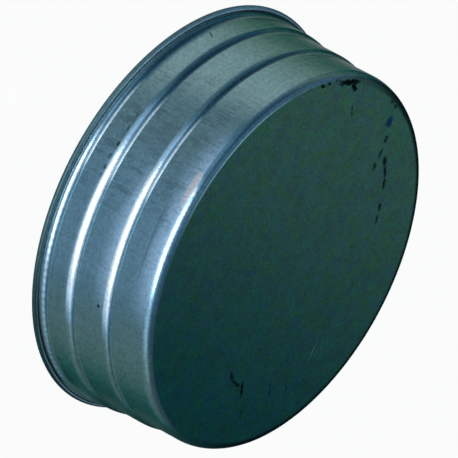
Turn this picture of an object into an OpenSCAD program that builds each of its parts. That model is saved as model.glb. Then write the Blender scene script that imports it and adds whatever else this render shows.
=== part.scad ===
// Round duct end cap: a cup pressed from one sheet of galvanised steel.
// Lengths are in millimetres. The axis is Z, the open rim is at the bottom and the closed face is on top.
// The section is drawn once, from straight strips and true arcs that share their ends, and turned about Z.
// Its pieces are stacked upwards from the rolled rim, so each length can change without breaking the sheet.

/* [Sheet] */
// Thickness of the sheet, the same all along the section
sheet_t = 0.6; // [0.4:0.05:0.8]

/* [Spigot] */
// Outside diameter of the widest band, which the duct slides over
spigot_d = 124; // [78:0.5:200]
// Height of the straight stretch of that band
spigot_len = 6.5; // [1:0.1:20]

/* [Steps] */
// Rise in radius at the lower step, above the spigot band
lower_step = 1.05; // [0.5:0.05:1.5]
// Height of the straight stretch of the middle band
middle_len = 10.5; // [1:0.1:20]
// Rise in radius at the upper step, below the nose band
upper_step = 0.9; // [0.5:0.05:1.5]
// Radius of the hollow foot of each step and of the flare
foot_r = 1; // [0.5:0.1:1.5]

/* [Nose] */
// Height of the straight stretch of the nose band
nose_len = 10.9; // [1:0.1:30]
// Outside radius of the long round by which the wall draws in towards the face
draw_r = 5.5; // [2:0.1:12]
// Inside radius of the tight corner between that round and the face
corner_in_r = 0.4; // [0.2:0.05:2]

/* [Rim] */
// Rise in radius at the flare that stops the duct
flare = 0.9; // [0.5:0.05:1.2]
// Height of the straight stretch of wall between the flare and the roll
rim_len = 1.15; // [0.1:0.05:4]
// Inside radius of the rolled rim
curl_in_r = 0.4; // [0.3:0.05:1]
// How far the sheet is rolled round, in degrees
curl_turn = 270; // [200:5:285]

/* [Hidden] */
$fn = 180;
// Sine of the slope where two arcs meet in a step or in the nose, about 37 degrees. Its cosine is 0.8,
// so the arcs meet on round numbers.
slope_sin = 0.6;
slope_cos = sqrt(1 - slope_sin * slope_sin);
// A step takes this much height for each millimetre of rise.
run_per_rise = slope_sin / (1 - slope_cos);
// Outside radii of the four bands, from the rim to the nose
spigot_r = spigot_d / 2;
rim_r = spigot_r + flare;
middle_r = spigot_r - lower_step;
nose_r = middle_r - upper_step;
// Outside radii of the two tight bends
curl_r = curl_in_r + sheet_t;
corner_r = corner_in_r + sheet_t;
// Radius of the flat part of the face
face_r = nose_r - draw_r * (1 - slope_cos) - corner_r * slope_cos;
// Heights at which one piece of the section ends and the next begins
flare_low = curl_r + rim_len;
flare_top = flare_low + run_per_rise * flare;
lower_low = flare_top + spigot_len;
lower_top = lower_low + run_per_rise * lower_step;
upper_low = lower_top + middle_len;
upper_top = upper_low + run_per_rise * upper_step;
draw_low = upper_top + nose_len;
cap_h = draw_low + draw_r * slope_sin + corner_r * (1 - slope_sin);
// Angle at which the wall enters the roll, in degrees
wall_side = 180;
// Longer than any radius in the section
far = 60;

// A straight upright strip of sheet with its outside at radius r, between two heights.
module wall(r, low, high) {
    translate([r - sheet_t, low])
        square([sheet_t, high - low]);
}

// A ring of sheet about the origin, kept only inside the given wedge.
module bend(outer, wedge) {
    intersection() {
        difference() {
            circle(r = outer);
            circle(r = outer - sheet_t);
        }
        polygon(wedge);
    }
}

// The step: a tight hollow foot, then a longer round shoulder, with the wall upright above and below it.
module step(r, rise, low, top) {
    shoulder_r = rise / (1 - slope_cos) - foot_r;
    translate([r + foot_r, top])
        bend(foot_r + sheet_t, [[0, 0], [-far, 0], [-far * slope_cos, -far * slope_sin]]);
    translate([r + rise - shoulder_r, low])
        bend(shoulder_r, [[0, 0], [far, 0], [far * slope_cos, far * slope_sin]]);
}

// The turn from the wall into the flat face: a long round that draws the wall in, then a tight corner.
module corner() {
    translate([nose_r - draw_r, draw_low])
        bend(draw_r, [[0, 0], [far, 0], [far * slope_cos, far * slope_sin]]);
    translate([face_r, cap_h - corner_r])
        bend(corner_r, [[0, 0], [far * slope_cos, far * slope_sin], [far, far], [0, far]]);
}

// The rim rolled outwards: from the wall down, out and up again, open where the sheet ends.
module curl() {
    end = curl_turn - wall_side;
    translate([rim_r + curl_in_r, curl_r])
        difference() {
            circle(r = curl_r);
            circle(r = curl_in_r);
            polygon([[0, 0], [far * cos(end), far * sin(end)], [-far, far], [-far, 0]]);
        }
}

// The whole section of the sheet, from the end of the rolled rim to the axis at the top.
module section() {
    curl();
    wall(rim_r, curl_r, flare_low);
    step(spigot_r, flare, flare_low, flare_top);
    wall(spigot_r, flare_top, lower_low);
    step(middle_r, lower_step, lower_low, lower_top);
    wall(middle_r, lower_top, upper_low);
    step(nose_r, upper_step, upper_low, upper_top);
    wall(nose_r, upper_top, draw_low);
    corner();
    translate([0, cap_h - sheet_t])
        square([face_r, sheet_t]);
}

module end_cap() {
    color([0.56, 0.62, 0.64])
        rotate_extrude()
            section();
}

end_cap();
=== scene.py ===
# %% [markdown]
# # A duct end cap in galvanised sheet
# The object is a round cup, pressed from one sheet of zinc-coated steel, that closes the end of a
# ventilation duct. This lesson loads the packed CAD part as a fixed frame, turns a finer skin of the same
# section, gives it a worn zinc finish and lights it. Everything is in metres and in the CAD part's own
# frame.

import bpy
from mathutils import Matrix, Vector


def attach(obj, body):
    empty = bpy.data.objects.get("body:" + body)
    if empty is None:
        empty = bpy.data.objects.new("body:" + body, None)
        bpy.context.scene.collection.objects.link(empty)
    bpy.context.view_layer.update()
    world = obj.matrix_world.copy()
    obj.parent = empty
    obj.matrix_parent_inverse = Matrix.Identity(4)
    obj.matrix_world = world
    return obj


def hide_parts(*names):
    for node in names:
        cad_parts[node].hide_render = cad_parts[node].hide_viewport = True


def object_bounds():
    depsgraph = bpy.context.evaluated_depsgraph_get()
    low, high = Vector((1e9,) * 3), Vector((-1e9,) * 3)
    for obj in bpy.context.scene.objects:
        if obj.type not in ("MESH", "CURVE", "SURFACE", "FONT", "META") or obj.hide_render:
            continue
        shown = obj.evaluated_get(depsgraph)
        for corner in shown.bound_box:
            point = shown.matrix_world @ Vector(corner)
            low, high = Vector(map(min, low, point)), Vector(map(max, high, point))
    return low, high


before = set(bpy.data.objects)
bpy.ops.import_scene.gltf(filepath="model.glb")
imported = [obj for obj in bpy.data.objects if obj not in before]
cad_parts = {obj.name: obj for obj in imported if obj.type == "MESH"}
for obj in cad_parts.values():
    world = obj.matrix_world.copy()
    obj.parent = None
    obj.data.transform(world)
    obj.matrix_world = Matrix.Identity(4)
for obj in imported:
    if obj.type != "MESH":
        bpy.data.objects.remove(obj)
cad_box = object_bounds()
print("CAD box", [tuple(round(v, 5) for v in corner) for corner in cad_box])

# %% [markdown]
# ## Tools and colour view
# Lengths on the cap are easiest to read in millimetres, so one factor turns them into metres. The Standard
# view shows a colour as it is written. The default view would bend it, and the zinc could not be matched.

# %% Imports and the colour view
import functools
import math
import operator

import bpy
from mathutils import Matrix, Vector

MM = 0.001
scene = bpy.context.scene
scene.view_settings.view_transform = "Standard"
print("nodes", sorted(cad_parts))

# %% [markdown]
# ## The camera
# The photograph was taken from far away, so a long lens stands well back. The axis of the cap runs to the
# right and down in the picture, and comes towards the viewer by 32 degrees. We write the camera's three
# directions in the cap's frame: first for a camera that stands upright in front of the cap, and then rolled
# about its own line of sight.

# %% Camera
IMAGE_PX = 458
SENSOR = 36 * MM
LENS_PX = 7500
MM_PER_PX = 0.2904
TILT = math.radians(32.1)
ROLL = math.radians(-118.2)
FACE_PX = (287.9, 264.4)
CLIP_END = 20
FACE_CENTRE = Vector((0, 0, cad_box[1].z))


def camera_axes(tilt, roll):
    """Right, up and back directions of a camera that looks along +Y, raised by tilt and then rolled."""
    back = Vector((0, -math.cos(tilt), math.sin(tilt)))
    level_right = Vector((1, 0, 0))
    level_up = back.cross(level_right)
    right = level_right * math.cos(roll) - level_up * math.sin(roll)
    up = level_right * math.sin(roll) + level_up * math.cos(roll)
    return right, up, back


right, up, back = camera_axes(TILT, ROLL)
pixel = MM_PER_PX * MM
shift_x = (FACE_PX[0] - IMAGE_PX / 2) * pixel
shift_y = (IMAGE_PX / 2 - FACE_PX[1]) * pixel
place = FACE_CENTRE - right * shift_x - up * shift_y + back * (LENS_PX * pixel)
camera_data = bpy.data.cameras.new("photo_camera")
camera_data.sensor_width = SENSOR / MM
camera_data.lens = LENS_PX * SENSOR / MM / IMAGE_PX
camera_data.clip_end = CLIP_END
camera = bpy.data.objects.new("photo_camera", camera_data)
scene.collection.objects.link(camera)
turn = Matrix((right, up, back)).transposed().to_4x4()
camera.matrix_world = Matrix.Translation(place) @ turn
scene.camera = camera
print("lens", round(camera_data.lens, 1), "mm, camera at", [round(v, 3) for v in place])

# %% [markdown]
# ## Wires
# Node trees are easier to read as sums. A Wire holds one output of a node. Adding or multiplying wires adds
# Math nodes to the tree, and its one method `node` makes any other node: the settings come first, then the
# sockets.


# %% The Wire class
class Wire:
    """One output socket of a node. Arithmetic on it adds nodes to the same tree."""

    def __init__(self, socket):
        self.socket = socket
        self.tree = socket.id_data

    @classmethod
    def node(cls, tree, kind, settings=None, inputs=None, output=0):
        """Any node: its settings are set first, then its sockets get values or links."""
        made = tree.nodes.new(kind)
        for name, value in (settings or {}).items():
            setattr(made, name, value)
        for name, value in (inputs or {}).items():
            if isinstance(value, Wire):
                tree.links.new(value.socket, made.inputs[name])
            else:
                made.inputs[name].default_value = value
        return cls(made.outputs[output])

    def more(self, output):
        """Another output of the same node."""
        return Wire(self.socket.node.outputs[output])

    def math(self, operation, *others, first=None):
        """A Math node on this value. A value given as first comes before it."""
        values = [self, *others] if first is None else [first, self]
        return self.node(self.tree, "ShaderNodeMath", {"operation": operation}, dict(enumerate(values)))

    def __add__(self, other):
        return self.math("ADD", other)

    __radd__ = __add__

    def __mul__(self, other):
        return self.math("MULTIPLY", other)

    __rmul__ = __mul__

    def __sub__(self, other):
        return self.math("SUBTRACT", other)

    def __rsub__(self, other):
        return self.math("SUBTRACT", first=other)

    def __truediv__(self, other):
        return self.math("DIVIDE", other)

    def __rtruediv__(self, other):
        return self.math("DIVIDE", first=other)

    def __pow__(self, other):
        return self.math("POWER", other)

    def smooth(self, low, high, bottom=0.0, top=1.0):
        """A soft rise from bottom to top while the value goes from low to high."""
        return self.node(
            self.tree,
            "ShaderNodeMapRange",
            {"interpolation_type": "SMOOTHSTEP"},
            {"Value": self, "From Min": low, "From Max": high, "To Min": bottom, "To Max": top},
        )

    def vector(self, operation, *others, output=0):
        """A Vector Math node with this vector as its first value."""
        values = dict(enumerate([self, *others]))
        return self.node(self.tree, "ShaderNodeVectorMath", {"operation": operation}, values, output)

    def scaled(self, factor):
        """This vector or colour, times a number."""
        sockets = {0: self, "Scale": factor}
        return self.node(self.tree, "ShaderNodeVectorMath", {"operation": "SCALE"}, sockets)

    @classmethod
    def blend(cls, tree, below, above, share):
        """One colour laid over another by a share."""
        sockets = {"Factor": share, 6: below, 7: above}
        return cls.node(tree, "ShaderNodeMix", {"data_type": "RGBA"}, sockets, output=2)

    def mix(self, above, share):
        """This colour with another laid over it."""
        return self.blend(self.tree, self, above, share)


print("Wire is ready")

# %% [markdown]
# ## The section of the sheet
# A press makes the cap by drawing one flat sheet into a cup, so the whole shape is one line with a
# thickness. The CAD part has the same section. Here it is walked once round, from the middle of the closed
# face down the outside, round the rolled rim, and up the inside back to the middle. Each bend is an arc
# with enough points for a smooth highlight. The skin lies a few hundredths of a millimetre under the CAD
# surface, so it never stands out of the CAD box.

# %% Sizes of the section, in millimetres
SHEET = 0.6
SPIGOT_R = 62.0
LOWER_STEP = 1.05
UPPER_STEP = 0.9
FLARE = 0.9
FOOT_R = 1.0
SPIGOT_LEN = 6.5
MIDDLE_LEN = 10.5
NOSE_LEN = 10.9
RIM_LEN = 1.15
DRAW_R = 5.5
CORNER_IN_R = 0.4
CURL_IN_R = 0.4
CURL_TURN = math.radians(270)
SLOPE = math.asin(0.6)
SKIN_GAP = 0.025
CURL_ROWS_IN = 18
CURL_ROWS_OUT = 30

RIM_R = SPIGOT_R + FLARE
MIDDLE_R = SPIGOT_R - LOWER_STEP
NOSE_R = MIDDLE_R - UPPER_STEP
CORNER_R = CORNER_IN_R + SHEET
FACE_R = NOSE_R - DRAW_R * (1 - math.cos(SLOPE)) - CORNER_R * math.cos(SLOPE)
RUN = math.sin(SLOPE) / (1 - math.cos(SLOPE))
FLARE_LOW = CURL_IN_R + SHEET + RIM_LEN
FLARE_TOP = FLARE_LOW + RUN * FLARE
LOWER_LOW = FLARE_TOP + SPIGOT_LEN
LOWER_TOP = LOWER_LOW + RUN * LOWER_STEP
UPPER_LOW = LOWER_TOP + MIDDLE_LEN
UPPER_TOP = UPPER_LOW + RUN * UPPER_STEP
DRAW_LOW = UPPER_TOP + NOSE_LEN
HEIGHT = DRAW_LOW + DRAW_R * math.sin(SLOPE) + CORNER_R * (1 - math.sin(SLOPE))
print("height", round(HEIGHT, 3), "mm, rim radius", round(RIM_R + 2 * CURL_IN_R + SHEET, 3), "mm")


# %% Walk round the section
def arc(centre, radius, start, end, steps):
    """Points on an arc, in degrees, with both ends."""
    turns = [math.radians(start + (end - start) * k / steps) for k in range(steps + 1)]
    return [(centre[0] + radius * math.cos(a), centre[1] + radius * math.sin(a)) for a in turns]


def straight(start, end, steps):
    """Points on a straight stretch, with both ends."""
    shares = [k / steps for k in range(steps + 1)]
    return [(start[0] + (end[0] - start[0]) * s, start[1] + (end[1] - start[1]) * s) for s in shares]


def soft_step(radius, rise, low, top, depth, steps):
    """One step from its upper to its lower end. depth is how far below the outside the skin lies."""
    angle = math.degrees(SLOPE)
    shoulder = rise / (1 - math.cos(SLOPE)) - FOOT_R
    foot = arc((radius + FOOT_R, top), FOOT_R + depth, 180, 180 + angle, steps)
    return foot + arc((radius + rise - shoulder, low), shoulder - depth, angle, 0, steps)


def wall_skin(depth, rows):
    """One side of the sheet, from the axis at the face to the start of the roll."""
    turn = math.degrees(SLOPE)
    points = straight((0, HEIGHT - depth), (FACE_R, HEIGHT - depth), rows["face"])
    points += arc((FACE_R, HEIGHT - CORNER_R), CORNER_R - depth, 90, turn, rows["corner"])
    points += arc((NOSE_R - DRAW_R, DRAW_LOW), DRAW_R - depth, turn, 0, rows["corner"])
    points += straight((NOSE_R - depth, DRAW_LOW), (NOSE_R - depth, UPPER_TOP), rows["band"])
    points += soft_step(NOSE_R, UPPER_STEP, UPPER_LOW, UPPER_TOP, depth, rows["step"])
    points += straight((MIDDLE_R - depth, UPPER_LOW), (MIDDLE_R - depth, LOWER_TOP), rows["band"])
    points += soft_step(MIDDLE_R, LOWER_STEP, LOWER_LOW, LOWER_TOP, depth, rows["step"])
    points += straight((SPIGOT_R - depth, LOWER_LOW), (SPIGOT_R - depth, FLARE_TOP), rows["short"])
    points += soft_step(SPIGOT_R, FLARE, FLARE_LOW, FLARE_TOP, depth, rows["step"])
    points += [(RIM_R - depth, CURL_IN_R + SHEET)]
    return points


def rolled_rim():
    """Round the inside of the roll to the end of the sheet, and back round its outside."""
    pivot = (RIM_R + CURL_IN_R, CURL_IN_R + SHEET)
    end = 180 + math.degrees(CURL_TURN)
    inner = arc(pivot, CURL_IN_R, 180, end, CURL_ROWS_IN)
    return inner + arc(pivot, CURL_IN_R + SHEET - SKIN_GAP, end, 180, CURL_ROWS_OUT)


outside = wall_skin(SKIN_GAP, {"face": 18, "corner": 12, "band": 8, "short": 5, "step": 9})
inside = wall_skin(SHEET, {"face": 6, "corner": 6, "band": 3, "short": 2, "step": 5})
walk = outside + rolled_rim() + inside[::-1]
section = [p for k, p in enumerate(walk) if k == 0 or math.dist(p, walk[k - 1]) > 1e-6]
print("section of", len(section), "points")

# %% [markdown]
# ## Turning the section
# A body of revolution follows one rule: each point of the section goes round the axis. A Geometry Nodes
# tree does this with a plain grid: one direction of the grid counts the points of the section, the other
# goes round. Where the grid meets itself, and at the two poles, the doubled points are merged.

# %% The turning tree
SEGMENTS = 320


def turning_tree():
    """A node tree that turns a chain of points about Z."""
    tree = bpy.data.node_groups.new("turn the section", "GeometryNodeTree")
    face = tree.interface
    face.new_socket("Section", in_out="INPUT", socket_type="NodeSocketGeometry")
    face.new_socket("Points", in_out="INPUT", socket_type="NodeSocketInt")
    face.new_socket("Segments", in_out="INPUT", socket_type="NodeSocketInt")
    face.new_socket("Finish", in_out="INPUT", socket_type="NodeSocketMaterial")
    face.new_socket("Cap", in_out="OUTPUT", socket_type="NodeSocketGeometry")
    given = Wire.node(tree, "NodeGroupInput")
    points, segments = given.more("Points"), given.more("Segments")
    grid = Wire.node(tree, "GeometryNodeMeshGrid", None, {"Vertices X": segments + 1, "Vertices Y": points})
    index = Wire.node(tree, "GeometryNodeInputIndex")
    column = (index / points).math("FLOOR")
    row = index - column * points
    spot = Wire.node(tree, "GeometryNodeInputPosition")
    sampled = Wire.node(
        tree,
        "GeometryNodeSampleIndex",
        {"data_type": "FLOAT_VECTOR", "domain": "POINT"},
        {"Geometry": given, "Value": spot, "Index": row},
    )
    parts = Wire.node(tree, "ShaderNodeSeparateXYZ", None, {0: sampled})
    radius, height = parts.more("X"), parts.more("Z")
    angle = column / segments * math.tau
    placed = Wire.node(
        tree,
        "ShaderNodeCombineXYZ",
        None,
        {"X": radius * angle.math("COSINE"), "Y": radius * angle.math("SINE"), "Z": height},
    )
    turned = Wire.node(tree, "GeometryNodeSetPosition", None, {"Geometry": grid, "Position": placed})
    merged = Wire.node(tree, "GeometryNodeMergeByDistance", None, {"Geometry": turned, "Distance": 1e-6})
    smooth = Wire.node(tree, "GeometryNodeSetShadeSmooth", None, {"Geometry": merged})
    real = Wire.node(tree, "GeometryNodeRealizeInstances", None, {"Geometry": smooth})
    sockets = {"Geometry": real, "Material": given.more("Finish")}
    done = Wire.node(tree, "GeometryNodeSetMaterial", None, sockets)
    out = tree.nodes.new("NodeGroupOutput")
    tree.links.new(done.socket, out.inputs["Cap"])
    return tree


turning = turning_tree()
print("turning tree with", len(turning.nodes), "nodes")

# %% [markdown]
# ## Helpers for the finish
# The finish is painted in the cap's own frame: a point's place, in millimetres, its height and its azimuth
# about the axis. Every pattern then stays on the metal when the camera moves. The helpers below make the
# few shapes that the marks on this cap have: a side of the wall, a belt of heights, a grain of a known size
# and an oval fleck.


# %% Places on the cap
FLECK_EDGE = (0.55, 1.05)


class Place:
    """Where a shaded point lies on the cap, as wires in millimetres."""

    def __init__(self, tree):
        self.tree = tree
        metres = Wire.node(tree, "ShaderNodeTexCoord").more("Object")
        self.spot = metres.scaled(1 / MM)
        parts = Wire.node(tree, "ShaderNodeSeparateXYZ", None, {0: self.spot})
        self.x, self.y, self.height = parts.more("X"), parts.more("Y"), parts.more("Z")
        level = Wire.node(tree, "ShaderNodeCombineXYZ", None, {"X": self.x, "Y": self.y})
        self.radius = level.vector("LENGTH", output=1)
        self.outward = level.vector("NORMALIZE")

    def side(self, azimuth, full, none):
        """1 within full degrees of an azimuth, falling to 0 at none degrees from it."""
        a = math.radians(azimuth)
        towards = self.outward.vector("DOT_PRODUCT", (math.cos(a), math.sin(a), 0), output=1)
        return towards.smooth(math.cos(math.radians(none)), math.cos(math.radians(full)))

    def belt(self, low, high, soft):
        """1 between two heights, with soft edges."""
        above = self.height.smooth(low - soft, low + soft)
        return above * self.height.smooth(high - soft, high + soft, 1.0, 0.0)

    def grain(self, size, seed, detail=2.0):
        """Cloudy noise from 0 to 1. size is the width of its patches."""
        sockets = {"Vector": self.spot, "W": seed, "Scale": 1 / size, "Detail": detail}
        return Wire.node(self.tree, "ShaderNodeTexNoise", {"noise_dimensions": "4D"}, sockets)

    def lines(self, count, seed, along=0.02):
        """Noise drawn out along the wall, in about count lines round it."""
        turn = count / math.tau
        stretched = self.outward.vector("MULTIPLY", (turn, turn, 0))
        rise = Wire.node(self.tree, "ShaderNodeCombineXYZ", None, {"Z": self.height * along})
        sockets = {"Vector": stretched.vector("ADD", rise), "W": seed, "Scale": 1.0, "Detail": 2.0}
        return Wire.node(self.tree, "ShaderNodeTexNoise", {"noise_dimensions": "4D"}, sockets)

    def rings(self, spacing, seed, around=1.5):
        """Noise drawn out round the wall, with rings about one spacing apart."""
        flat = self.outward.vector("MULTIPLY", (around, around, 0))
        rise = Wire.node(self.tree, "ShaderNodeCombineXYZ", None, {"Z": self.height / spacing})
        sockets = {"Vector": flat.vector("ADD", rise), "W": seed, "Scale": 1.0, "Detail": 1.0}
        return Wire.node(self.tree, "ShaderNodeTexNoise", {"noise_dimensions": "4D"}, sockets)

    def ragged(self, reach, size, seed):
        """The place, shaken by a fine noise, so that a mark drawn on it has a ragged edge."""
        shake = self.grain(size, seed).more("Color").vector("SUBTRACT", (0.5, 0.5, 0.5))
        return self.spot.vector("ADD", shake.scaled(2 * reach))


def fleck(spot, centre, half, turn, lean=0):
    """1 inside an oval block about a centre, leaned over and turned about the axis, and 0 outside it."""
    angles = (math.radians(lean), 0, math.radians(turn))
    inverse = {"Vector": spot, "Location": centre, "Rotation": angles, "Scale": half}
    local = Wire.node(spot.tree, "ShaderNodeMapping", {"vector_type": "TEXTURE"}, inverse)
    return local.vector("LENGTH", output=1).smooth(*FLECK_EDGE, 1.0, 0.0)


print("helpers for", [name for name in vars(Place) if not name.startswith("_")])

# %% [markdown]
# ## Marks on the closed face
# The face was dragged over something hard: there is a black scuff along one edge, a row of short dark
# dashes, a hooked scratch and a few bright hairlines. Each mark is written where it lies on the face, with
# its direction and its half length and half width, so a mark can be moved or left out by itself.

# %% Face marks: x, y, direction in degrees, half length, half width, depth of tone
FACE_MARKS = {
    "edge scuff": (-54.8, -17.2, 109, 7.0, 1.3, 1.0),
    "edge scuff end": (-54.1, -13.9, 75, 2.6, 1.1, 1.0),
    "edge scuff spur": (-53.3, -20.8, 60, 1.9, 0.8, 0.8),
    "edge chip": (-49.8, -29.1, 100, 1.6, 0.84, 0.95),
    "second edge chip": (-51.3, -26.7, 100, 1.4, 0.64, 0.85),
    "third edge chip": (-53.4, -23.6, 114, 1.3, 0.55, 0.7),
    "faint edge chip": (-47.2, -34.0, 124, 1.6, 0.5, 0.45),
    "short scratch": (-48.0, -8.9, 40, 2.6, 0.48, 0.75),
    "first dash": (-45.8, 15.2, 25, 1.7, 0.82, 0.85),
    "second dash": (-41.6, 16.2, 0, 2.1, 0.82, 0.8),
    "knot": (-40.0, 20.5, 45, 2.2, 1.2, 0.9),
    "long dash": (-37.5, 23.3, 45, 3.2, 0.82, 0.9),
    "long dash end": (-34.2, 26.0, 36, 2.7, 0.77, 0.85),
    "side dot": (-37.2, 16.7, 20, 1.8, 0.82, 0.75),
    "third dash": (-27.7, 30.0, 35, 1.9, 0.82, 0.85),
    "fourth dash": (-24.0, 31.9, 30, 2.2, 0.77, 0.8),
    "rim spot": (-56.3, 8.6, 90, 1.5, 0.8, 0.75),
    "second rim spot": (-55.5, 11.2, 80, 1.5, 0.8, 0.8),
    "rim scuff": (-55.1, 17.5, 72, 3.2, 1.0, 0.85),
    "second rim scuff": (-53.0, 23.5, 66, 2.2, 0.6, 0.7),
    "hook top": (36.5, 2.0, 56, 2.7, 0.77, 0.85),
    "hook stem": (37.8, 6.2, 84, 3.5, 0.72, 0.85),
    "hook foot": (38.5, 10.3, 36, 3.8, 0.86, 0.95),
    "faint streak": (34.5, 23.8, 37, 3.4, 0.6, 0.4),
    "second faint streak": (32.4, 32.0, 28, 3.0, 0.6, 0.4),
    "third faint streak": (45.0, 16.0, 40, 3.2, 0.6, 0.4),
    "faint dot": (-3.6, 37.6, 30, 1.6, 0.5, 0.4),
}
HAIRLINES = {
    "hairline": (19.0, 35.4, 9, 3.8, 0.24, 0.7),
    "second hairline": (19.1, 37.3, 2, 1.8, 0.22, 0.6),
    "third hairline": (16.2, 38.2, 30, 2.2, 0.2, 0.4),
}
NAVY_SPOT = (-50.7, 12.3, 45, 2.4, 1.9, 0.8)
print(len(FACE_MARKS), "dark marks and", len(HAIRLINES), "bright ones on the face")

# %% [markdown]
# ## Marks on the wall
# The wall has fewer marks: one pit, a row of dark flecks at the lower step, a tick near the rim and two
# faint rings on the nose. They are placed by azimuth and height, as one would measure them on a drum.

# %% Wall marks: azimuth, height, lean in degrees, half width round the wall, half height, depth of tone
WALL_MARKS = {
    "pit": (-53.6, 22.9, 0, 0.6, 0.65, 1.0),
    "fleck 1": (-106.0, 10.6, 0, 1.3, 0.4, 0.5),
    "fleck 2": (-102.0, 10.8, 0, 1.6, 0.45, 0.6),
    "fleck 3": (-97.0, 10.9, 0, 1.2, 0.6, 0.85),
    "fleck 4": (-93.0, 10.6, 0, 1.2, 0.5, 0.6),
    "fleck 5": (-90.0, 10.9, 0, 1.2, 0.5, 0.7),
    "fleck 6": (-87.6, 10.9, 0, 1.0, 0.5, 0.5),
    "tick": (-140.6, 6.9, -35, 0.35, 2.2, 0.6),
    "nose ring": (-79.0, 34.3, 0, 17, 0.55, 0.36),
    "second nose ring": (-86.0, 35.2, 0, 7, 0.45, 0.25),
}
print(len(WALL_MARKS), "marks on the wall")

# %% [markdown]
# ## The zinc finish
# The sheet gets its zinc coat before it is pressed. The wall looks brighter than the face because it mirrors
# the white floor, and it carries fine lines along the pull of the press; the face keeps a dull, mottled,
# green-blue skin. Painted highlights, sheen, reflections and shade lie in the colour of both. One
# Principled metal does both: only its colour, its roughness and a slight bump change from place to place.
# The edge tint is dark, because worn zinc loses its gleam at a grazing view, and that gives the cap its
# thin dark outline.

# %% Tones of the zinc
INSIDE_TONE = (0.085, 0.15, 0.165, 1)
FAR_TONE = (0.11, 0.165, 0.185, 1)
WALL_TONE = (0.08, 0.16, 0.195, 1)
# Painted shade: darkens the steps, and dims the highlights on the nose round and the feet.
STEP_SHADE_TONE = (0.045, 0.12, 0.17, 1)
BLUE_TONE = (0.078, 0.165, 0.235, 1)
# Painted pale reflection on each band.
PALE_REFLECTION_TONE = (0.17, 0.285, 0.305, 1)
# Painted reflections and shade towards the ends of the near wall: a greener low end, a dark end, pale green
# bands and a greener nose round at the high end, and shaded steps.
LOW_END_REFLECTION_TONE = (0.085, 0.155, 0.155, 1)
END_SHADE_TONE = (0.025, 0.08, 0.075, 1)
HIGH_END_REFLECTION_TONE = (0.15, 0.235, 0.21, 1)
HIGH_STEP_SHADE_TONE = (0.058, 0.11, 0.112, 1)
SHADED_STEP_TONE = (0.02, 0.068, 0.105, 1)
HIGH_ROUND_REFLECTION_TONE = (0.085, 0.15, 0.15, 1)
# Painted highlight along the edge of the face, which the top box lights too.
EDGE_HIGHLIGHT_TONE = (0.12, 0.25, 0.3, 1)
# Painted highlight spot on the round of the nose.
SPOT_HIGHLIGHT_TONE = (0.42, 0.43, 0.46, 1)
# Painted sheen below the upper end of each band.
SHEEN_TONE = (0.22, 0.37, 0.54, 1)
# Painted highlights on the shoulders, their fading ends, and on the feet.
SHOULDER_HIGHLIGHT_TONE = (0.55, 0.68, 0.76, 1)
FADING_HIGHLIGHT_TONE = (0.2, 0.36, 0.5, 1)
FOOT_HIGHLIGHT_TONE = (0.5, 0.66, 0.72, 1)
# Painted light in the slit, where shade falls.
SLIT_LIGHT_TONE = (0.55, 0.8, 0.86, 1)
CURL_TONE = (0.08, 0.165, 0.195, 1)
# Painted shade on the low side of the roll, and a painted pale reflection on its high side.
LOW_CURL_SHADE_TONE = (0.018, 0.062, 0.065, 1)
HIGH_CURL_REFLECTION_TONE = (0.18, 0.33, 0.39, 1)
RIM_EDGE_TONE = (0.028, 0.06, 0.065, 1)
FACE_TONE = (0.095, 0.215, 0.15, 1)
# Painted shade that darkens the face towards +X.
FACE_SHADE_TONE = (0.022, 0.1, 0.09, 1)
# Dark marks, and painted shade along the far edge of the face.
GRIME_AND_SHADE_TONE = (0.004, 0.012, 0.016, 1)
NAVY_TONE = (0.01, 0.045, 0.13, 1)
SCRATCH_TONE = (0.16, 0.34, 0.4, 1)
print("tones ready")

# %% [markdown]
# ## Sides of the wall
# The wall's colour is not the same all round. Most sides carry painted light and shade: highlights, sheen,
# reflections and darker ends. A few carry the zinc's own tones, its streaks and a rougher end. A side is an
# azimuth in degrees, then how far from it a tone is full, and how far from it the tone has gone. Kept in one
# list, a tone can be slid round the cap without a look at the node tree.

# %% Sides: azimuth, degrees at full tone, degrees at none
SIDES = {
    # Painted highlights on the nose round and the flare's beads, then painted shade and a painted pale
    # reflection on the roll.
    "nose highlight": (-80, 5, 20),
    "beads": (-46, 20, 36),
    "low curl": (-15, 30, 56),
    "high curl": (-138, 28, 50),
    # The zinc's own cool tone; then painted shade and greener painted reflections towards both ends and on
    # the steps there, and a painted highlight at the face edge.
    "cool": (-68, 12, 42),
    "dim": (-42, 8, 22),
    "low end": (-10, 12, 52),
    "dark end": (3, 7, 20),
    "high steps": (-165, 25, 50),
    "shaded steps": (-138, 10, 23),
    "high end": (-172, 12, 36),
    "high round": (-172, 18, 42),
    "face edge": (-122, 24, 46),
    # Painted shade over the nose round; painted highlights on the nose line, the flare and the shoulders;
    # painted shade and highlights on the feet; painted light in the slit.
    "matt nose": (-67, 6, 14),
    "nose line": (-45, 12, 20),
    "nose line start": (-62, 4, 20),
    "beaded flare": (-42, 18, 34),
    "ridge ends": (-78, 22, 37),
    "ridges": (-74, 8, 28),
    "dull feet": (-66, 15, 30),
    "bright feet": (-101, 5, 16),
    "lit slit": (-105, 46, 64),
    # Plain zinc on the far side, real streaks, painted shade along the far edge of the face, and a rougher
    # low end.
    "far side": (90, 68, 84),
    "streaks": (-103, 16, 28),
    "dirty edge": (95, 70, 105),
    "dull end": (6, 10, 22),
}
print(len(SIDES), "sides of the wall")

# %% [markdown]
# ## Masks for the bands and steps
# The wall has three upright bands with a soft step below each, and each takes the light in its own way. A
# mask is a number from 0 to 1 that says where a tone goes. Masks could be painted on an unwrapped mesh.
# Made from the heights of the section they are exact, and they follow when a size changes.

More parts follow.
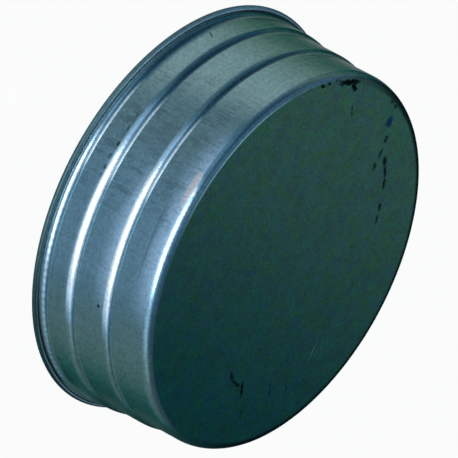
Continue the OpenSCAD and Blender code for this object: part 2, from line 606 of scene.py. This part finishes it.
# %% Bands and steps
BANDS = {"nose": (UPPER_TOP, DRAW_LOW), "middle": (LOWER_TOP, UPPER_LOW), "spigot": (FLARE_TOP, LOWER_LOW)}
STEPS = {
    "upper": (UPPER_LOW, UPPER_TOP, UPPER_STEP),
    "lower": (LOWER_LOW, LOWER_TOP, LOWER_STEP),
    "flare": (FLARE_LOW, FLARE_TOP, FLARE),
}


def total(wires):
    """The sum of some wires."""
    return functools.reduce(operator.add, wires)


def bands(place, spread=0.0):
    """1 on the three upright bands and 0 on the steps. A spread lets the bands reach into the steps."""
    return total([place.belt(low - spread, high + spread, 0.4) for low, high in BANDS.values()])


def inside_cup(place):
    """1 on the inner side of the sheet, whose middle follows the steps and draws in at the nose."""
    wider = total([place.height.smooth(low, top, rise, 0.0) for low, top, rise in STEPS.values()])
    drawn = (place.height - DRAW_LOW).math("MAXIMUM", 0.0) ** 2 / (2 * DRAW_R)
    below = NOSE_R - SHEET / 2 + wider - drawn - place.radius
    return below.smooth(-0.1, 0.1) * place.height.smooth(HEIGHT - 0.4, HEIGHT - 0.2, 1.0, 0.0)


def feet(place):
    """1 on the hollow foot of each step."""
    return total([place.belt(top - 0.8, top - 0.2, 0.2) for low, top, rise in STEPS.values()])


def ridges(place):
    """1 on the round shoulder of the nose and of the two steps, where painted highlights go."""
    nose = place.belt(DRAW_LOW + 0.8, DRAW_LOW + 2.1, 0.35) * place.side(*SIDES["nose highlight"]) * 0.3
    upper = place.belt(UPPER_LOW - 0.15, UPPER_LOW + 2.0, 0.45)
    return nose + upper + place.belt(LOWER_LOW + 0.2, LOWER_LOW + 2.5, 0.45)


print("masks for", list(BANDS))

# %% [markdown]
# ## Painted sheen and reflections
# Each band has a painted pale reflection, a little further round on each band, and a painted sheen on the
# near side that is brightest at its upper end. Towards both ends of the visible wall, painted reflections
# make the zinc greener. Each of these is a tone, laid over the one before by a mask.

# %% Painted sheen and reflections
# Where the painted pale reflection and the painted sheen lie on each band.
PALE_REFLECTION_AT = {"nose": -143, "middle": -140, "spigot": -136}
PALE_REFLECTION_REACH = {"nose": (-0.6, 1.2), "middle": (-0.6, -0.4), "spigot": (0.6, 0.2)}
SHEEN_RUN = {"nose": 10, "middle": 9.5, "spigot": 3}
SHEEN_AT = {"nose": (-85, 6, 34), "middle": (-75, 3, 26), "spigot": (-75, 3, 26)}


def pale_reflection(place):
    """A painted pale reflection on each band; it lies a little further round on each band."""
    parts = []
    for name, (low, high) in BANDS.items():
        start, end = PALE_REFLECTION_REACH[name]
        parts.append(place.belt(low + start, high + end, 0.6) * place.side(PALE_REFLECTION_AT[name], 8, 26))
    return total(parts)


def sheen(place):
    """The painted sheen on each band: brightest at its upper end, below the bend."""
    parts = []
    for name, (low, high) in BANDS.items():
        rise = place.height.smooth(high + 1 - SHEEN_RUN[name], high + 1) ** 2.2
        parts.append(rise * place.belt(low, high + 1, 0.4) * place.side(*SHEEN_AT[name]))
    return total(parts)


print("sheened", SHEEN_AT)

# %% [markdown]
# ## The finish of the rolled rim
# The roll is dull and dark outside, with painted shade on its low side and a painted pale reflection on its
# high side, and a narrow slit where the sheet comes back to the wall, which painted light brightens. The
# flare carries a painted highlight ring. The roller that turned it has left fine beads along the flare, so
# the ring is beaded. The beads have hardly any height, so a sine of the azimuth draws them, and the mesh
# stays plain.

# %% The rolled rim
BEADS = 160


def curl(place):
    """1 on the rolled rim."""
    return place.height.smooth(FLARE_LOW - 0.5, FLARE_LOW - 0.1, 1.0, 0.0)


def slit(place):
    """1 in the narrow gap between the roll and the wall."""
    low = place.height.smooth(FLARE_LOW, FLARE_LOW + 0.3, 1.0, 0.0)
    return low * place.radius.smooth(RIM_R + 0.5, RIM_R + 1.0, 1.0, 0.0)


def beads(place):
    """A painted highlight ring on the flare, beaded on one side where the roller left fine beads."""
    azimuth = place.y.math("ARCTAN2", place.x)
    wave = (azimuth * BEADS).math("SINE") * 0.5 + 0.5
    dots = 1 - place.side(*SIDES["beads"]) * 0.65 * (1 - wave)
    return place.belt(FLARE_LOW + 0.8, FLARE_LOW + 1.9, 0.3) * dots * 0.45


def curl_colour(place):
    """Painted shade low on the roll, a painted pale reflection high on it, and darker along its outer edge.
    """
    low = Wire.blend(place.tree, CURL_TONE, LOW_CURL_SHADE_TONE, place.side(*SIDES["low curl"]))
    high = low.mix(HIGH_CURL_REFLECTION_TONE, place.side(*SIDES["high curl"]))
    return high.mix(RIM_EDGE_TONE, place.radius.smooth(RIM_R + 1.0, RIM_R + 1.4) * 0.75)


print("rim with", BEADS, "beads a turn")

# %% [markdown]
# ## The colour of the wall
# The zinc is cool and blue in the middle of the near side. Over it lie painted light and shade: a painted
# sheen and pale reflections, greener painted reflections and shade towards both ends, painted shade on the
# steps, and painted highlights on the shoulders, feet, nose and flare. The colour is built like paint: a
# plain coat first, then one tone after another, each on its own side of the wall. The far side and the
# inside of the cup get plain zinc with no marks, because nothing is known of them.

# %% Colour of the wall
# A painted highlight spot on the round of the nose.
HIGHLIGHT_SPOT_AZIMUTH = -96
HIGHLIGHT_SPOT_HEIGHT = 38.6
HIGHLIGHT_SPOT_HALF = (4, 7, 1.6)


def wall_spot(azimuth, height):
    """The point of the wall at an azimuth and a height."""
    a = math.radians(azimuth)
    steps = [(UPPER_TOP, NOSE_R), (LOWER_TOP, MIDDLE_R), (FLARE_TOP, SPIGOT_R), (0, RIM_R)]
    radius = next(r for low, r in steps if height >= low)
    return (radius * math.cos(a), radius * math.sin(a), height)


def wall_plain(place):
    """Cool zinc with painted shade, painted reflections and a painted highlight at the face edge."""
    # Painted shade darkens the steps.
    plain = Wire.blend(place.tree, STEP_SHADE_TONE, WALL_TONE, bands(place))
    blue = plain.mix(BLUE_TONE, place.side(*SIDES["cool"]))
    # A painted pale reflection on each band.
    reflected = blue.mix(PALE_REFLECTION_TONE, pale_reflection(place))
    # Painted shade and greener painted reflections towards both ends of the near wall, with painted shade on
    # its steps.
    dimmed = reflected.mix(END_SHADE_TONE, place.side(*SIDES["dim"]) * 0.35)
    low_end = dimmed.mix(LOW_END_REFLECTION_TONE, place.side(*SIDES["low end"]))
    above_flare = place.height.smooth(FLARE_TOP, LOWER_LOW)
    dark_end = low_end.mix(END_SHADE_TONE, place.side(*SIDES["dark end"]) * above_flare)
    steps = (1 - bands(place, 0.6)) * place.height.smooth(UPPER_TOP, UPPER_TOP + 1, 1.0, 0.0)
    stepped = dark_end.mix(HIGH_STEP_SHADE_TONE, place.side(*SIDES["high steps"]) * steps)
    shaded = stepped.mix(SHADED_STEP_TONE, place.side(*SIDES["shaded steps"]) * steps * 0.9)
    high_end = shaded.mix(HIGH_END_REFLECTION_TONE, place.side(*SIDES["high end"]) * bands(place, 0.7))
    # A greener painted reflection on the high end of the nose round.
    round_end = place.side(*SIDES["high round"]) * place.height.smooth(DRAW_LOW + 0.3, DRAW_LOW + 1.3)
    # A painted highlight along the face edge.
    edge = place.height.smooth(HEIGHT - 1.3, HEIGHT - 0.7) * place.side(*SIDES["face edge"])
    return high_end.mix(HIGH_ROUND_REFLECTION_TONE, round_end).mix(EDGE_HIGHLIGHT_TONE, edge)


def wall_painted_light(place):
    """The same zinc with painted sheen, highlights and shade, the roll, and painted light in its slit."""
    # A painted sheen below the upper end of each band.
    sheened = wall_plain(place).mix(SHEEN_TONE, sheen(place))
    highlight_mask = ridges(place) + beads(place)
    # Painted shade dims the nose round; painted highlights lie on the nose line, the flare and the
    # shoulders.
    nose_round = place.belt(DRAW_LOW + 1.0, DRAW_LOW + 2.4, 0.45)
    darkened = sheened.mix(STEP_SHADE_TONE, nose_round * place.side(*SIDES["matt nose"]) * 0.35)
    nose_line = nose_round * place.side(*SIDES["nose line"]) * place.side(*SIDES["nose line start"])
    beaded = darkened.mix(FADING_HIGHLIGHT_TONE, beads(place) * place.side(*SIDES["beaded flare"]) + nose_line * 0.5)
    faded = beaded.mix(FADING_HIGHLIGHT_TONE, highlight_mask * place.side(*SIDES["ridge ends"]))
    bright = faded.mix(SHOULDER_HIGHLIGHT_TONE, highlight_mask * place.side(*SIDES["ridges"]))
    # Painted shade dims the hollow feet on one side; painted highlights brighten them on another.
    shaded_feet = bright.mix(STEP_SHADE_TONE, feet(place) * place.side(*SIDES["dull feet"]) * 0.9)
    highlit_feet = shaded_feet.mix(FOOT_HIGHLIGHT_TONE, feet(place) * place.side(*SIDES["bright feet"]) * 0.9)
    # A painted highlight spot on the nose round.
    glow = fleck(place.ragged(1.0, 4, 3.1), wall_spot(HIGHLIGHT_SPOT_AZIMUTH, HIGHLIGHT_SPOT_HEIGHT), HIGHLIGHT_SPOT_HALF, HIGHLIGHT_SPOT_AZIMUTH)
    rolled = highlit_feet.mix(curl_colour(place), curl(place))
    # Painted light in the slit, where shade falls.
    slit_lit = rolled.mix(SLIT_LIGHT_TONE, slit(place) * (0.5 + 0.45 * place.side(*SIDES["lit slit"])))
    return slit_lit.mix(SPOT_HIGHLIGHT_TONE, glow * 0.7).mix(FAR_TONE, place.side(*SIDES["far side"]))


def wall_colour(place):
    """The wall with its draw lines and dark streaks."""
    fine = place.lines(340, 1.3, 0.06) * 0.22 + place.rings(1.3, 6.2) * 0.15 + place.grain(0.8, 2.7) * 0.83
    patch = place.grain(5, 8.2).smooth(0.3, 0.68) * place.side(*SIDES["streaks"]) * bands(place)
    streak = place.lines(440, 4.7, 0.16).smooth(0.42, 0.66) * patch * (1 - inside_cup(place))
    plain = wall_painted_light(place).mix(INSIDE_TONE, inside_cup(place))
    return plain.scaled((0.4 + 1.02 * fine) * (1 - 0.32 * streak))


print("wall colour ready")

# %% [markdown]
# ## The colour of the face
# The press hardly touches the closed face, so it keeps the mottled skin that zinc gets as it sets. Two
# coloured grains make it, one with patches of 4 mm and one of 0.9 mm, over a painted shade that darkens it
# slowly from one side to the other.

# %% Colour of the face
def mottle(place, size, seed, swing, least):
    """A coloured grain. Each channel swings by its own amount above its own least value."""
    return place.grain(size, seed).more("Color").vector("MULTIPLY_ADD", swing, least)


def face_colour(place):
    """Dull zinc with a mottled green and blue skin, and painted shade towards +X."""
    # Painted shade darkens the face towards +X.
    plain = Wire.blend(place.tree, FACE_TONE, FACE_SHADE_TONE, place.x.smooth(-55, 60))
    coarse = mottle(place, 4.0, 2.4, (0.45, 0.55, 0.9), (0.775, 0.725, 0.55))
    fine = mottle(place, 0.9, 5.5, (1.5, 1.1, 1.6), (0.25, 0.45, 0.2))
    return plain.vector("MULTIPLY", coarse).vector("MULTIPLY", fine)


print("face colour ready")

# %% [markdown]
# ## Marks as masks
# Each mark is an oval fleck. A fine noise shakes the place before the ovals are drawn, so their edges are
# ragged, as a real scuff's are. An image could hold such marks too, but these stay sharp at any distance
# and can be moved one by one.

# %% Marks as masks
MARK_DEPTH = 0.5


def darkest(masks):
    """The strongest of some masks at each point."""
    return functools.reduce(lambda one, other: one.math("MAXIMUM", other), masks)


def face_marks(spot, marks):
    """How strong the marks of one list are at a point of the face."""
    masks = []
    for x, y, turn, length, width, tone in marks.values():
        masks.append(fleck(spot, (x, y, HEIGHT), (length, width, MARK_DEPTH), turn) * tone)
    return darkest(masks)


def wall_marks(spot):
    """How strong the marks are at a point of the wall."""
    masks = []
    for azimuth, height, lean, half_width, half_height, tone in WALL_MARKS.values():
        half = (MARK_DEPTH + half_width / 4, half_width, half_height)
        masks.append(fleck(spot, wall_spot(azimuth, height), half, azimuth, lean) * tone)
    return darkest(masks)


def grime_mask(place, ragged):
    """All the dark marks, and painted shade along the far edge of the face."""
    # Painted shade along the far edge of the face.
    far_edge = place.radius.smooth(FACE_R - 1.6, FACE_R - 0.3) * place.side(*SIDES["dirty edge"])
    dirt = far_edge * place.height.smooth(HEIGHT - 1.2, HEIGHT - 0.8) * 0.9
    return darkest([face_marks(ragged, FACE_MARKS), wall_marks(place.ragged(0.3, 0.9, 4.4)), dirt])


print("marks ready")

# %% [markdown]
# ## One metal for the sheet
# Face and wall are the same sheet, so they share one metal. The dark marks, the painted shade at the far
# edge of the face, the roll and the hollow feet are rougher than the rest. A fine relief breaks the
# reflections: draw lines on the wall, and grain everywhere.

# %% The finish
BUMP_HEIGHT = 0.02 * MM
BUMP_STRENGTH = 0.35
EDGE_TINT = (0.2, 0.26, 0.25, 1)
ROUGH = {
    "plain": 0.25,
    "grain": 0.1,
    "face": 0.12,
    "grime": 0.25,
    "curl": 0.22,
    "feet": 0.22,
    "dull end": 0.35,
}


def zinc_finish():
    """The worn zinc coat of the sheet."""
    material = bpy.data.materials.new("galvanised_steel")
    material.use_nodes = True
    tree = material.node_tree
    shader = tree.nodes["Principled BSDF"]
    shader.inputs["Metallic"].default_value = 1.0
    shader.inputs["Specular Tint"].default_value = EDGE_TINT
    place = Place(tree)
    top = place.height.smooth(HEIGHT - 0.3, HEIGHT - 0.08)
    on_face = top * place.radius.smooth(FACE_R, FACE_R + 0.5, 1.0, 0.0)
    on_wall = (1 - on_face) * (1 - inside_cup(place))
    ragged = place.ragged(0.8, 0.9, 7.3)
    grime = grime_mask(place, ragged) * (1 - inside_cup(place))
    colour = wall_colour(place).mix(face_colour(place), on_face)
    colour = colour.mix(NAVY_TONE, face_marks(ragged, {"navy spot": NAVY_SPOT}))
    colour = colour.mix(SCRATCH_TONE, face_marks(place.ragged(0.15, 2.0, 9.1), HAIRLINES))
    # Dark marks, and painted shade along the far edge of the face.
    colour = colour.mix(GRIME_AND_SHADE_TONE, grime)
    rough = ROUGH["plain"] + ROUGH["grain"] * place.grain(1.5, 3.9) + ROUGH["face"] * on_face
    rough = rough + ROUGH["grime"] * grime + ROUGH["curl"] * curl(place) + ROUGH["feet"] * feet(place)
    rough = rough + ROUGH["dull end"] * place.side(*SIDES["dull end"]) * on_wall
    relief = place.lines(420, 1.3) * 0.5 * on_wall + place.grain(0.8, 5.5, 3.0) * 0.5
    sockets = {"Strength": BUMP_STRENGTH, "Distance": BUMP_HEIGHT, "Height": relief}
    bump = Wire.node(tree, "ShaderNodeBump", None, sockets)
    for name, wire in {"Base Color": colour, "Roughness": rough, "Normal": bump}.items():
        tree.links.new(wire.socket, shader.inputs[name])
    return material


zinc = zinc_finish()
print("finish", zinc.name, "with", len(zinc.node_tree.nodes), "nodes")

# %% [markdown]
# ## Turning the cap
# The section goes in as a chain of points and comes out as the whole cup. The result is then made a plain
# mesh, because an export keeps only what is really there. Bends sharper than 40 degrees, such as the cut
# end of the sheet, stay crisp.

# %% Turn the cap
SHARP_BEND = math.radians(40)


def turned_cap():
    """The cap as one plain mesh."""
    chain = bpy.data.meshes.new("section")
    corners = [(r * MM, 0, z * MM) for r, z in section]
    chain.from_pydata(corners, [(k, k + 1) for k in range(len(corners) - 1)], [])
    holder = bpy.data.objects.new("section", chain)
    scene.collection.objects.link(holder)
    modifier = holder.modifiers.new("turn", "NODES")
    modifier.node_group = turning
    sockets = {s.name: s.identifier for s in turning.interface.items_tree if s.in_out == "INPUT"}
    modifier[sockets["Points"]] = len(corners)
    modifier[sockets["Segments"]] = SEGMENTS
    modifier[sockets["Finish"]] = zinc
    seen = bpy.context.evaluated_depsgraph_get()
    mesh = bpy.data.meshes.new_from_object(holder.evaluated_get(seen))
    bpy.data.objects.remove(holder)
    mesh.name = "cap_skin"
    cap = bpy.data.objects.new("cap_skin", mesh)
    scene.collection.objects.link(cap)
    return cap


cap = turned_cap()
cap.data.set_sharp_from_angle(angle=SHARP_BEND)
normal_up = [p.normal.z for p in cap.data.polygons if p.center.z > (HEIGHT - 0.1) * MM]
print("cap of", len(cap.data.vertices), "points and", len(cap.data.polygons), "faces")
print("the face looks up by", round(normal_up[0], 3))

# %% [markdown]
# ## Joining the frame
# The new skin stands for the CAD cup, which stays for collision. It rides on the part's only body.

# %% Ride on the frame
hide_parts("end_cap")
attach(cap, "root")
print("cap rides on root")

# %% [markdown]
# ## The floor
# The cap stands on its rolled rim, on a plain white floor that fills the picture. A lit floor alone would
# come out grey, so most of it is a plain white glow that only the camera and mirror-like rays see: the
# ground is white, the zinc shows a white ground too, and the lamps stay at a plain level. The rest of the
# floor is matt paint, which keeps the soft shadow of the cap. From below the floor is clear, so the inside
# of the cup can be looked at.

# %% Floor
FLOOR_HALF = 3.0
FLOOR_PAINT = (0.95, 0.95, 0.95, 1)
GLOW_SHARE = 0.94


def floor_finish():
    """White ground with a faint shadow, clear from below."""
    material = bpy.data.materials.new("floor_white")
    material.use_nodes = True
    tree = material.node_tree
    tree.nodes.remove(tree.nodes["Principled BSDF"])
    paint = Wire.node(tree, "ShaderNodeBsdfDiffuse", None, {"Color": FLOOR_PAINT})
    glow = Wire.node(tree, "ShaderNodeEmission", None, {"Color": (1, 1, 1, 1), "Strength": 1.0})
    ray = Wire.node(tree, "ShaderNodeLightPath")
    direct = ray.more("Is Camera Ray") + ray.more("Is Glossy Ray") + ray.more("Is Transmission Ray")
    share = direct.math("MINIMUM", 1.0) * GLOW_SHARE
    ground = Wire.node(tree, "ShaderNodeMixShader", None, {0: share, 1: paint, 2: glow})
    behind = Wire.node(tree, "ShaderNodeNewGeometry").more("Backfacing")
    clear = Wire.node(tree, "ShaderNodeBsdfTransparent")
    whole = Wire.node(tree, "ShaderNodeMixShader", None, {0: behind, 1: ground, 2: clear})
    tree.links.new(whole.socket, tree.nodes["Material Output"].inputs["Surface"])
    return material


floor_mesh = bpy.data.meshes.new("floor")
corners = [(x * FLOOR_HALF, y * FLOOR_HALF, 0) for x, y in ((-1, -1), (1, -1), (1, 1), (-1, 1))]
floor_mesh.from_pydata(corners, [], [(0, 1, 2, 3)])
floor_mesh.materials.append(floor_finish())
floor = bpy.data.objects.new("floor", floor_mesh)
scene.collection.objects.link(floor)
print("floor", 2 * FLOOR_HALF, "m wide")

# %% [markdown]
# ## Light
# Metal shows its surroundings, so the lamps are placed by what each bend mirrors. The upright bands mirror
# the white floor. The round of the nose and the shoulder of each step mirror a long, low box in front of
# the cap, which draws the bright rings, and painted highlights in the zinc's colour add to them; a fainter
# box on each side lets the rings fade out. A small box overhead draws the hairline at the edge of the face,
# with a painted highlight there too. The rest of the room is a dim blue, which shows as the deep blue beside
# each ring, deepened by painted shade on the steps.


# %% Lamps: azimuth, elevation, width and height in metres, brightness
LAMPS = {
    "long_box": (-70, 3, (1.3, 0.2), 16),
    "right_box": (-12, 3, (0.8, 0.2), 2.5),
    "left_box": (-122, 3, (0.5, 0.2), 2),
    "top_box": (176, 72, (0.8, 0.8), 1.0),
}
LAMP_DISTANCE = 1.2
ROOM_TONE = (0.28, 0.35, 0.46, 1)


def soft_box(name, azimuth, elevation, size, radiance):
    """A flat lamp that looks at the cap. radiance is how bright its surface is, where 1 is white."""
    data = bpy.data.lights.new(name, "AREA")
    data.shape = "RECTANGLE"
    data.size, data.size_y = size
    data.energy = math.pi * radiance * size[0] * size[1]
    lamp = bpy.data.objects.new(name, data)
    a, e = math.radians(azimuth), math.radians(elevation)
    aim = Vector((math.cos(a) * math.cos(e), math.sin(a) * math.cos(e), math.sin(e)))
    lamp.location = Vector((0, 0, HEIGHT / 2 * MM)) + aim * LAMP_DISTANCE
    lamp.rotation_euler = aim.to_track_quat("Z", "Y").to_euler()
    lamp.visible_camera = False
    scene.collection.objects.link(lamp)
    return lamp


for lamp_name, row in LAMPS.items():
    soft_box(lamp_name, *row)
world = bpy.data.worlds.new("room")
world.use_nodes = True
world.node_tree.nodes["Background"].inputs["Color"].default_value = ROOM_TONE
scene.world = world

# %% [markdown]
# ## Sizes at the end
# The skin may not outgrow the CAD part, so it lies a few hundredths of a millimetre under the CAD surface.
